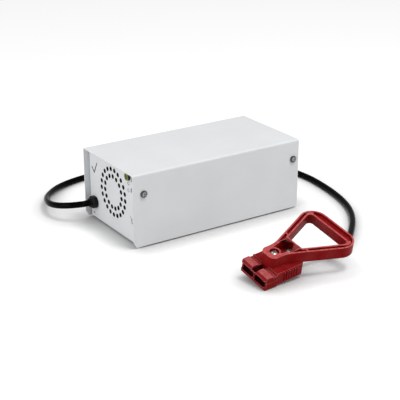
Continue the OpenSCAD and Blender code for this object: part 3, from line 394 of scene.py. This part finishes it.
def print_ring(mesh, centre, radius, width):
    """Adds a printed ring round a place, across and up the panel in mm."""
    turn = (Matrix.Translation((panel_x, centre[0] * mm, centre[1] * mm))
            @ Matrix.Rotation(math.radians(90), 4, "Y"))
    loops = []
    for loop_radius in (radius, radius - width):
        loops += bmesh.ops.create_circle(mesh, segments=24, radius=loop_radius * mm,
                                         matrix=turn)["verts"]
    edges = list({edge for vert in loops for edge in vert.link_edges})
    return bmesh.ops.bridge_loops(mesh, edges=edges)["faces"]


def print_marks(name, tone, bars, rings=()):
    """Makes one print in one ink: bars as start, end and width, rings as centre, radius, width."""
    mesh = bmesh.new()
    faces = [face for bar in bars for face in print_bar(mesh, *bar)]
    faces += [face for ring in rings for face in print_ring(mesh, *ring)]
    raised = bmesh.ops.extrude_face_region(mesh, geom=faces)["geom"]
    raised_verts = [item for item in raised if isinstance(item, bmesh.types.BMVert)]
    bmesh.ops.translate(mesh, vec=(-ink_depth, 0, 0), verts=raised_verts)
    bmesh.ops.recalc_face_normals(mesh, faces=mesh.faces)
    data = bpy.data.meshes.new(name)
    mesh.to_mesh(data)
    mesh.free()
    data.materials.append(printed_ink(name + "_ink", tone))
    marks = bpy.data.objects.new(name, data)
    scene.collection.objects.link(marks)
    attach(marks, "charger")


print_marks("panel_tick", 36, [
    ((42.8, 57.6), (37.7, 52.5), 1.7),
    ((38.1, 51.9), (31.2, 64.4), 1.5),
    ((42.0, 7.5), (39.2, 7.5), 1.4),
])
print_marks("indicator_bars", 30, [
    ((-39.9, 72.2), (-39.0, 66.0), 1.6),
    ((-38.0, 59.6), (-37.6, 54.8), 1.5),
])
print_marks("indicator_rings", 120, [((-35.2, 29.4), (-38.8, 22.2), 0.8)], [
    ((-32.6, 62.8), 1.9, 0.7),
    ((-32.4, 55.4), 1.9, 0.7),
    ((-38.4, 24.8), 2.4, 0.7),
])


# Cover screws
# Zinc-plated steel pan-head screws with a cross recess, driven through the cover's sides until their
# heads sit on the sheet.
def plated_steel(name, light, dark, rough):
    """Plated steel: fine turned grain, small stains and darker spots in the plating."""
    material, shader, place = new_finish(name, metallic=1.0)
    grain = place.noise(0.25 * mm, 3, stretch=(1, 1, 4))
    stain = place.noise(2.5 * mm, 3).rise(0.4, 0.7)
    feed(shader,
         base_color=(stain * 0.6).blend(light, dark),
         roughness=grain * 0.12 + stain * 0.08 + rough,
         normal=grain.bump(0.15, 0.05 * mm))
    return material


def dress(node, material):
    """Gives a CAD node a material in place of its plain one."""
    for slot in nodes[node].material_slots:
        slot.material = material


def cover_screw_steel():
    """Zinc-plated screw heads, painted lighter in the middle as a painted highlight and darker towards
    their rims as painted shade.
    """
    material, shader, place = new_finish("cover_screw_steel", metallic=1.0)
    low, high = [Vector(corner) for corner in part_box("cover_screws")]
    head = (high.z - low.z) / 2
    from_front = (place.part("x") - (low.x + head)).absolute()
    from_rear = (place.part("x") - (high.x - head)).absolute()
    away = from_front.smaller(from_rear).beside(place.part("z") - (low.z + head))
    # The head is painted light in the middle, a painted highlight, and dark towards its rim, painted
    # shade.
    rim = away.rise(0.45 * head, 0.8 * head)
    grain = place.noise(0.3 * mm, 3)
    feed(shader,
         base_color=rim.blend(rgb(172, 172, 169), rgb(84, 85, 86)),
         roughness=rim * 0.18 + grain * 0.12 + 0.2,
         normal=grain.bump(0.15, 0.05 * mm))
    return material


zinc = plated_steel("zinc_plated_steel", rgb(196, 196, 192), rgb(150, 150, 145), 0.26)
softened("cover_screws", cover_screw_steel(), 0.12 * mm)


# Feet
# Four low round feet of black rubber, stuck to the base.
def foot_rubber():
    """Moulded rubber: dull, slightly dusty, with a fine grain."""
    material, shader, place = new_finish("foot_rubber")
    grain = place.noise(0.4 * mm, 3)
    dust = place.noise(3 * mm, 3).rise(0.45, 0.8)
    feed(shader,
         base_color=(dust * 0.5).blend(rgb(24, 24, 24), rgb(64, 62, 60)),
         roughness=grain * 0.15 + 0.7,
         normal=grain.bump(0.3, 0.1 * mm))
    return material


softened("feet", foot_rubber(), 0.3 * mm)


# Indicator
# A round black bezel clipped into the panel, and a moulded yellow-green lens whose rim covers the
# bezel's face. The lens is clear towards its rim and dark over the unlit chip.
def moulded_plastic(name, deep, pale, rough, specular=0.5):
    """Moulded plastic: fine erosion grain, faint flow clouding and paler rounded edges."""
    material, shader, place = new_finish(name, specular_ior_level=specular)
    flow = place.noise(14 * mm, 3).rise(0.3, 0.75)
    grain = place.noise(0.35 * mm, 2)
    edge = place.painted("edge")
    worn = edge * place.noise(2.2 * mm, 4).rise(0.25, 0.7, 0.35, 1.0)
    feed(shader,
         base_color=(worn * 0.8 + flow * 0.08).blend(deep, pale),
         roughness=grain * 0.12 + worn * 0.12 + rough,
         normal=grain.bump(0.12, 0.08 * mm))
    return material


def lens_moulding(centre):
    """Yellow-green lens: bright clear rim and a dark middle where the chip shows through. Its emission
    is a painted glow, strongest at the rim, though the lamp is unlit.
    """
    material, shader, place = new_finish("lens_moulding", specular_ior_level=0.25, coat_weight=0.2,
                                         coat_roughness=0.05)
    away = (place.part("y") - centre.y).beside(place.part("z") - centre.z)
    swirl = place.noise(0.8 * mm, 2)
    clear = (away + swirl * 0.3 * mm).rise(2.2 * mm, 3.5 * mm)
    feed(shader,
         base_color=clear.blend(rgb(56, 66, 8), rgb(112, 126, 30)),
         roughness=swirl * 0.1 + 0.14,
         emission_color=clear.blend(rgb(24, 28, 4), rgb(72, 82, 20)))
    # The emission is a painted glow, brighter at the rim; the lamp is not lit.
    shader.inputs["Emission Strength"].default_value = 0.35
    return material


satin_black = moulded_plastic("satin_black_plastic", rgb(12, 12, 13), rgb(50, 50, 52), 0.38,
                              specular=0.3)
softened("indicator_bezel", satin_black, 0.1 * mm)
softened("indicator_lamp", lens_moulding(box_middle("indicator_lamp")), 0.08 * mm)


# Strain relief
# A black nylon bushing with a flatted round head, snapped into the panel and gripping the lead.
bushing_nylon = moulded_plastic("bushing_nylon", rgb(8, 8, 8), rgb(44, 44, 45), 0.4, specular=0.15)
softened("strain_relief", bushing_nylon, 0.2 * mm)


# Fan
# A 60 mm tube fan of black plastic behind the panel. Four studs with nylon spacers and nuts hold it,
# and its bladed hub turns on a short steel shaft round the copper-wound stator.
def wound_copper(name, pitch):
    """Enamelled copper wire in fine turns, with darker gaps between them."""
    material, shader, place = new_finish(name, metallic=0.85)
    turns = (place.part("x") * (2 * math.pi / pitch)).sine() * 0.5 + 0.5
    stain = place.noise(4 * mm, 3)
    feed(shader,
         base_color=(turns * 0.7 + stain * 0.3).blend(rgb(96, 48, 22), rgb(198, 118, 66)),
         roughness=stain * 0.2 + 0.25,
         normal=turns.bump(0.5, 0.2 * mm))
    return material


fan_black = moulded_plastic("fan_black", rgb(26, 26, 27), rgb(52, 52, 54), 0.45)
spacer_nylon = moulded_plastic("spacer_nylon", rgb(214, 212, 200), rgb(230, 228, 218), 0.4)
dress("fan_frame", fan_black)
dress("fan_rotor", fan_black)
dress("fan_stator", wound_copper("stator_winding", 0.5 * mm))
dress("fan_spacers", spacer_nylon)
for name in ("fan_studs", "fan_nuts"):
    dress(name, zinc)


# Battery connector
# A two-pole plug moulded in red polycarbonate, with two open mouths, raised blocks over them and
# grip ribs on its sides. Silver-plated contacts snap in from behind, and its edges are rubbed pale.
def place_in_plug(spot):
    """A place in metres, given in the connector's own frame in millimetres."""
    return plug_frame.inverted() @ (spot / mm)


def rub(piece, amount, touched):
    """Marks the faces that hands and tables rub. touched tells them by a face's middle and its
    direction in the connector's own frame."""
    data = piece.data
    turn_back = plug_frame.to_3x3().inverted()
    edge_values = data.attributes["edge"].data
    for face in data.polygons:
        if touched(place_in_plug(face.center), turn_back @ face.normal):
            edge_values[face.index].value = max(edge_values[face.index].value, amount)


pit_wall = 0.7 * mm
pit_depth = 3.2 * mm
facing_up = 0.9

# Places on the connector, in millimetres in its own frame.
channel_length = 12
channel_half_width = 1
channel_floor_span = (9, 12)
mouth_depth = (0.25, 12.5)
mouth_side = (1, 15.5)
mouth_height = (1, 10.3)
block_top = 12.5
block_length = 9
shelf_span = (11, 12)
shelf_end = 15


def sink_channel(mesh):
    """Sinks a pit into the floor of the channel between the raised blocks."""
    turn_back = plug_frame.to_3x3().inverted()
    floors = []
    for face in mesh.faces:
        spot = place_in_plug(face.calc_center_median())
        in_channel = spot.x < channel_length and abs(spot.y) < channel_half_width
        at_floor = channel_floor_span[0] < spot.z < channel_floor_span[1]
        if in_channel and at_floor and (turn_back @ face.normal).z > facing_up:
            floors.append(face)
    bmesh.ops.inset_region(mesh, faces=floors, thickness=pit_wall, use_even_offset=True)
    pit_verts = list({vert for face in floors for vert in face.verts})
    down = plug_frame.to_3x3() @ Vector((0, 0, -pit_depth))
    bmesh.ops.translate(mesh, vec=down, verts=pit_verts)


def in_box(spot, *spans):
    """1 where a place lies within three spans along x, y and z in millimetres, else 0."""
    within = []
    for axis, (low, high) in zip("xyz", spans):
        along = spot.part(axis)
        within += [along > low * mm, along < high * mm]
    return math.prod(within)


def on_block_top(spot, facing):
    """True for a face on top of the raised blocks."""
    return facing.z > facing_up and spot.z > block_top and spot.x < block_length


def on_shelf(spot, facing):
    """True for a face on the shelf behind the raised blocks."""
    return facing.z > facing_up and shelf_span[0] < spot.z < shelf_span[1] and spot.x < shelf_end


plug_red = moulded_plastic("plug_red", rgb(128, 2, 8), rgb(200, 112, 112), 0.4, specular=0.07)
plug_shader, plug_colour, plug_object_place = finished(plug_red)
plug_spot = plug_object_place.node("ShaderNodeMapping", {"vector_type": "TEXTURE"}, {
    "Vector": plug_object_place,
    "Location": plug_place * mm,
    "Rotation": plug_turn,
})
other_side = [-edge for edge in reversed(mouth_side)]
# The insides of both mouths are painted almost black: painted shade in the mouths.
left_mouth_painted_shade = in_box(plug_spot, mouth_depth, mouth_side, mouth_height)
right_mouth_painted_shade = in_box(plug_spot, mouth_depth, other_side, mouth_height)
feed(plug_shader,
     base_color=left_mouth_painted_shade.larger(right_mouth_painted_shade).blend(plug_colour, rgb(52, 2, 8)))
plug = softened("plug_housing", plug_red, 0.2 * mm, shape=sink_channel)
rub(plug, 0.85, on_block_top)
rub(plug, 0.35, on_shelf)

silver = plated_steel("silver_plate", rgb(214, 212, 205), rgb(160, 156, 144), 0.22)
dress("plug_contacts", silver)
dress("contact_springs", zinc)


def two_core_insulation(name, middle, first, second):
    """Soft insulation of two cores in two colours, told apart by the side that they lie on."""
    material, shader, place = new_finish(name, specular_ior_level=0.4)
    scuff = place.noise(2 * mm, 3)
    worn = scuff.rise(0.3, 0.8, 0, 0.25)
    side = place.part("y") > middle
    feed(shader,
         base_color=side.blend(worn.blend(first, rgb(90, 90, 90)),
                               worn.blend(second, rgb(220, 150, 150))),
         roughness=scuff * 0.15 + 0.42)
    return material


core_middle = Vector((50, 0, 6.5))
core_black = rgb(20, 20, 20)
core_red = rgb(150, 18, 22)
dress("plug_cores", two_core_insulation("plug_core_insulation", (plug_frame @ core_middle).y * mm,
                                        core_black, core_red))


# Pull handle
# An A-shaped frame with a channel section, moulded in deep red plastic and screwed to the top of
# the connector. The thin rims of its walls are rubbed paler than the faces. The lengths here are in
# millimetres, in the connector's own frame.
pad_half_width = 9.25
arm_start = 30
arm_slope = 0.42
arm_width = 6.07
grip_corner = Vector((85.7, 17.1))
grip_corner_middle = 10.9
grip_middle = 95.9
pocket_end = 45.3
pocket_half_width = 8.2
handle_underside = 13
handle_height = 11.5
handle_deck = 15.5
channel_deck = 21.8
handle_rim = 24
arm_draft = 1.3
grip_draft = 2.0
grip_draft_from = 75
draft_at_foot = 0.4
draft_run_in = 8
tolerance = 0.1


def draft_inner_walls(mesh):
    """Leans the walls of the finger opening inwards towards their rims, as the mould leaves them,
    and lifts the floor of the arms' channel."""
    for vert in mesh.verts:
        spot = place_in_plug(vert.co)
        side = math.copysign(1, spot.y)
        arm_middle = pad_half_width + arm_slope * (spot.x - arm_start) - arm_width / 2
        from_corner = Vector((spot.x, abs(spot.y))) - grip_corner
        in_corner = min(from_corner) < 0 or from_corner.length < grip_corner_middle
        in_pocket = spot.x < pocket_end + tolerance and abs(spot.y) < pocket_half_width
        if in_corner and spot.x < grip_middle and abs(spot.y) < arm_middle:
            height_share = (spot.z - handle_underside) / handle_height
            rise = draft_at_foot + (1 - draft_at_foot) * height_share
            start = min(1, max(0, (spot.x - pocket_end) / draft_run_in))
            spot.y -= side * arm_draft * rise * start
            if spot.x > grip_draft_from:
                spot.x -= grip_draft * rise
        if abs(spot.z - handle_deck) < tolerance and not in_pocket:
            spot.z = channel_deck
        vert.co = plug_frame @ spot * mm


def on_handle_rim(spot, facing):
    """True for a face on the rims and pads on top of the handle."""
    return facing.z > facing_up and spot.z > handle_rim


handle_red = moulded_plastic("handle_red", rgb(132, 2, 7), rgb(216, 112, 112), 0.36, specular=0.06)
handle = softened("handle", handle_red, 0.25 * mm, shape=draft_inner_walls)
rub(handle, 0.8, on_handle_rim)


# Handle screws
# Two nickel-plated pan-head screws through the handle and the connector, into nuts underneath.
nickel = plated_steel("nickel_plated_steel", rgb(206, 201, 192), rgb(150, 145, 134), 0.22)
softened("handle_screws", nickel, 0.12 * mm)
dress("handle_nuts", zinc)


# Mains inlet
# A black moulded appliance inlet with three flat plated pins, screwed to the rear panel.
softened("mains_inlet", satin_black, 0.25 * mm)
for name in ("inlet_pins", "inlet_screws", "inlet_nuts"):
    dress(name, zinc)


# Circuit board
# A fibreglass board with a green solder mask, pale copper tracks and tinned pads, on four hexagonal
# pillars with one screw in each.
def solder_mask():
    """Green solder mask over tracks, with small tinned pads."""
    material, shader, place = new_finish("solder_mask", specular_ior_level=0.5)
    track = place.noise(7 * mm, 2, stretch=(1, 3, 1)).rise(0.5, 0.515)
    pad = place.cells(6 * mm) < 0.16
    base = (track * 0.6).blend(rgb(18, 78, 42), rgb(40, 118, 62))
    feed(shader,
         base_color=pad.blend(base, rgb(196, 196, 190)),
         metallic=pad * 0.9,
         roughness=pad * 0.1 + 0.3,
         normal=(track + pad).bump(0.4, 0.05 * mm))
    return material


dress("circuit_board", solder_mask())
for name in ("board_pillars", "board_screws"):
    dress(name, zinc)


# Transformer
# A ground ferrite core round a bobbin that is wrapped in yellow polyester tape.
def ferrite():
    """Sintered ferrite: dull dark grey with small pits."""
    material, shader, place = new_finish("ferrite", specular_ior_level=0.4)
    pits = place.cells(0.7 * mm).rise(0.05, 0.3)
    cloud = place.noise(6 * mm, 4)
    feed(shader,
         base_color=cloud.blend(rgb(50, 50, 53), rgb(74, 74, 77)),
         roughness=cloud * 0.15 + 0.6,
         normal=pits.bump(0.3, 0.1 * mm))
    return material


tape_pitch = 5 * mm


def wrapped_tape():
    """Yellow polyester tape in overlapping wraps, slightly see-through over the wire."""
    material, shader, place = new_finish("wrapped_tape", specular_ior_level=0.5)
    wraps = (place.part("z") * (2 * math.pi / tape_pitch)).sine()
    wire = place.noise(1.2 * mm, 3, stretch=(0.2, 0.2, 3))
    feed(shader,
         base_color=(wraps.rise(0.7, 1.0) * 0.4 + wire * 0.35).blend(rgb(222, 184, 64),
                                                                   rgb(168, 120, 30)),
         roughness=wire * 0.15 + 0.28,
         normal=wraps.bump(0.3, 0.2 * mm))
    return material


dress("transformer_core", ferrite())
dress("transformer_winding", wrapped_tape())


# Mains choke
# A ring core wound with two layers of enamelled copper wire, standing on the board.
turns_on_ring = 44


def ring_winding(middle):
    """Copper turns that run round the section of a ring core."""
    material, shader, place = new_finish("ring_winding", metallic=0.85)
    angle = (place.part("y") - middle.y).turned(place.part("x") - middle.x)
    turns = (angle * turns_on_ring).sine() * 0.5 + 0.5
    stain = place.noise(5 * mm, 3)
    feed(shader,
         base_color=(turns * 0.7 + stain * 0.3).blend(rgb(92, 42, 20), rgb(204, 124, 70)),
         roughness=stain * 0.2 + 0.24,
         normal=turns.bump(0.6, 0.4 * mm))
    return material


dress("mains_choke", ring_winding(box_middle("mains_choke")))


# Capacitors
# Aluminium cans in dark shrink sleeves with a pale stripe, open at the top round the vented end.
bare_end_depth = 0.3 * mm
stripe_share = 0.08


def can_sleeve(name, node, tone):
    """Shrink sleeve with a stripe down one side, and the bare metal end of the can."""
    material, shader, place = new_finish(name, specular_ior_level=0.5)
    low, high = [Vector(corner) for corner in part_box(node)]
    top = place.part("z") > high.z - bare_end_depth
    stripe = (place.part("y") < low.y + (high.y - low.y) * stripe_share) * (1 - top)
    haze = place.noise(4 * mm, 3)
    sleeve = (haze * 0.2).blend(tone, rgb(70, 76, 96))
    feed(shader,
         base_color=top.blend(stripe.blend(sleeve, rgb(186, 190, 200)), rgb(200, 200, 202)),
         metallic=top * 0.95,
         roughness=haze * 0.12 + 0.26)
    return material


dress("mains_capacitor", can_sleeve("mains_can_sleeve", "mains_capacitor", rgb(16, 22, 40)))
dress("output_capacitors", can_sleeve("output_can_sleeve", "output_capacitors", rgb(20, 20, 24)))


# Heat sinks
# Two finned strips of extruded aluminium with the power transistors clamped to their faces.
def extruded_metal():
    """Bare extruded aluminium with long die lines and a dull oxide haze."""
    material, shader, place = new_finish("extruded_metal", metallic=1.0)
    lines = place.noise(0.5 * mm, 3, stretch=(1, 1, 0.05))
    haze = place.noise(9 * mm, 3)
    feed(shader,
         base_color=haze.blend(rgb(170, 172, 175), rgb(196, 198, 200)),
         roughness=lines * 0.2 + haze * 0.1 + 0.28,
         normal=lines.bump(0.3, 0.05 * mm))
    return material


dress("heat_sinks", extruded_metal())
dress("power_transistors", moulded_plastic("transistor_epoxy", rgb(30, 30, 31), rgb(60, 60, 60), 0.5))


# Fuse
# A glass tube fuse with plated end caps, snapped into two spring clips.
cap_length = 5 * mm


def fuse_tube():
    """Clear glass between two plated end caps."""
    material, shader, place = new_finish("fuse_tube", specular_ior_level=0.5)
    low, high = [Vector(corner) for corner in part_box("fuse")]
    along = (place.part("x") - (low.x + high.x) / 2).absolute()
    cap = along > (high.x - low.x) / 2 - cap_length
    grain = place.noise(0.8 * mm, 2)
    feed(shader,
         base_color=cap.blend(rgb(206, 216, 216), rgb(198, 188, 160)),
         metallic=cap * 0.95,
         roughness=grain * 0.06 + 0.08,
         alpha=cap * 0.65 + 0.35)
    return material


dress("fuse", fuse_tube())
dress("fuse_clips", plated_steel("clip_brass", rgb(206, 176, 104), rgb(160, 128, 66), 0.24))


# Output terminals
# A two-way terminal block of green plastic, with a plated screw over each wire.
dress("output_terminals", moulded_plastic("terminal_green", rgb(24, 112, 62), rgb(70, 150, 104), 0.42))
dress("terminal_screws", zinc)


# Inner wires
# Cores of the output lead, red and black fan and lamp wires, and the three mains wires in their
# usual brown, green-yellow and blue.
def mains_insulation():
    """Insulation of three wires side by side: brown, green with a yellow stripe, and blue."""
    material, shader, place = new_finish("mains_insulation", specular_ior_level=0.4)
    low, high = [Vector(corner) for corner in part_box("mains_wires")]
    third = (high.y - low.y) / 3
    across = place.part("y")
    stripe = place.noise(1.2 * mm, 0, stretch=(1, 1, 0.2)) > 0.5
    earth = stripe.blend(rgb(40, 120, 50), rgb(216, 196, 50))
    live = (across > low.y + third).blend(rgb(96, 58, 38), earth)
    feed(shader,
         base_color=(across > high.y - third).blend(live, rgb(38, 74, 150)),
         roughness=place.noise(2 * mm, 2) * 0.15 + 0.4)
    return material


for name, first, second in (("lead_cores", core_black, core_red),
                            ("fan_wires", core_black, core_red),
                            ("lamp_wires", rgb(16, 16, 16), rgb(40, 40, 42))):
    dress(name, two_core_insulation(name + "_insulation", box_middle(name).y, first, second))
dress("mains_wires", mains_insulation())


# Floor and light
# A plain white sweep under three soft boxes, with a pale room all round. The floor keeps the
# charger's soft shadow, darkest where something nearly touches it.
world_light = 0.52
floor_size = 9.0
floor_white = (0.55, 0.55, 0.55, 1)
floor_glow_share = 0.56
contact_shadow_reach = 30 * mm
lamp_aim = Vector((0, 0, 0.03))


def light_path(value, name):
    """1 for the rays of a kind, else 0."""
    return value.node("ShaderNodeLightPath", None, None, name)


def seen_or_mirrored(value):
    """1 for rays from the camera and for rays that mirror or pass through something, else 0."""
    mirrored = light_path(value, "Is Glossy Ray")
    passed = light_path(value, "Is Transmission Ray")
    return light_path(value, "Is Camera Ray").larger(mirrored).larger(passed)


world = bpy.data.worlds.new("white_room")
world.use_nodes = True
scene.world = world
world_shader = world.node_tree.nodes["Background"]
world_seen = light_path(Value(world.node_tree), "Is Camera Ray")
world_strength = world_seen * (1 - world_light) + world_light
world.node_tree.links.new(world_strength.socket, world_shader.inputs["Strength"])
world_shader.inputs["Color"].default_value = (1, 1, 1, 1)

floor_mesh = bmesh.new()
bmesh.ops.create_grid(floor_mesh, x_segments=1, y_segments=1, size=floor_size / 2)
floor_data = bpy.data.meshes.new("floor")
floor_mesh.to_mesh(floor_data)
floor_mesh.free()
floor = bpy.data.objects.new("floor", floor_data)
scene.collection.objects.link(floor)
floor_material = bpy.data.materials.new("white_sweep")
floor_material.use_nodes = True
floor_tree = floor_material.node_tree
floor_value = Value(floor_tree)
floor_tree.nodes.remove(floor_tree.nodes["Principled BSDF"])
floor_diffuse = floor_value.node("ShaderNodeBsdfDiffuse", None, {"Color": floor_white})
# The glow is dimmed by ambient occlusion near the charger: a painted contact shadow, on top of the
# lamps' real shadows.
floor_open = floor_value.node("ShaderNodeAmbientOcclusion", {"samples": 8},
                              {"Distance": contact_shadow_reach}, 1)
floor_glow_shaded = floor_open * floor_open * floor_open * floor_glow_share
floor_glow = floor_value.node("ShaderNodeEmission", None, {
    "Color": (1, 1, 1, 1),
    "Strength": seen_or_mirrored(floor_value) * floor_glow_shaded,
})
floor_sum = floor_value.node("ShaderNodeAddShader", None, {0: floor_diffuse, 1: floor_glow})
floor_tree.links.new(floor_sum.socket, floor_tree.nodes["Material Output"].inputs["Surface"])
floor_data.materials.append(floor_material)


def soft_box(name, place, size, power):
    """Square area light at a place, turned towards the charger, in metres and watts."""
    data = bpy.data.lights.new(name, "AREA")
    data.size = size
    data.energy = power
    light = bpy.data.objects.new(name, data)
    light.location = place
    light.rotation_mode = "QUATERNION"
    light.rotation_quaternion = (lamp_aim - Vector(place)).to_track_quat("-Z", "Y")
    scene.collection.objects.link(light)


soft_box("top_soft_box", (0.15, -0.6, 1.4), 0.4, 9.9)
soft_box("left_soft_box", (-1.4, 0.1, 0.5), 0.9, 7.6)
soft_box("front_soft_box", (0.8, -1.4, 0.5), 0.9, 3.6)


# View
# Colours are shown as written.
scene.view_settings.view_transform = "Standard"
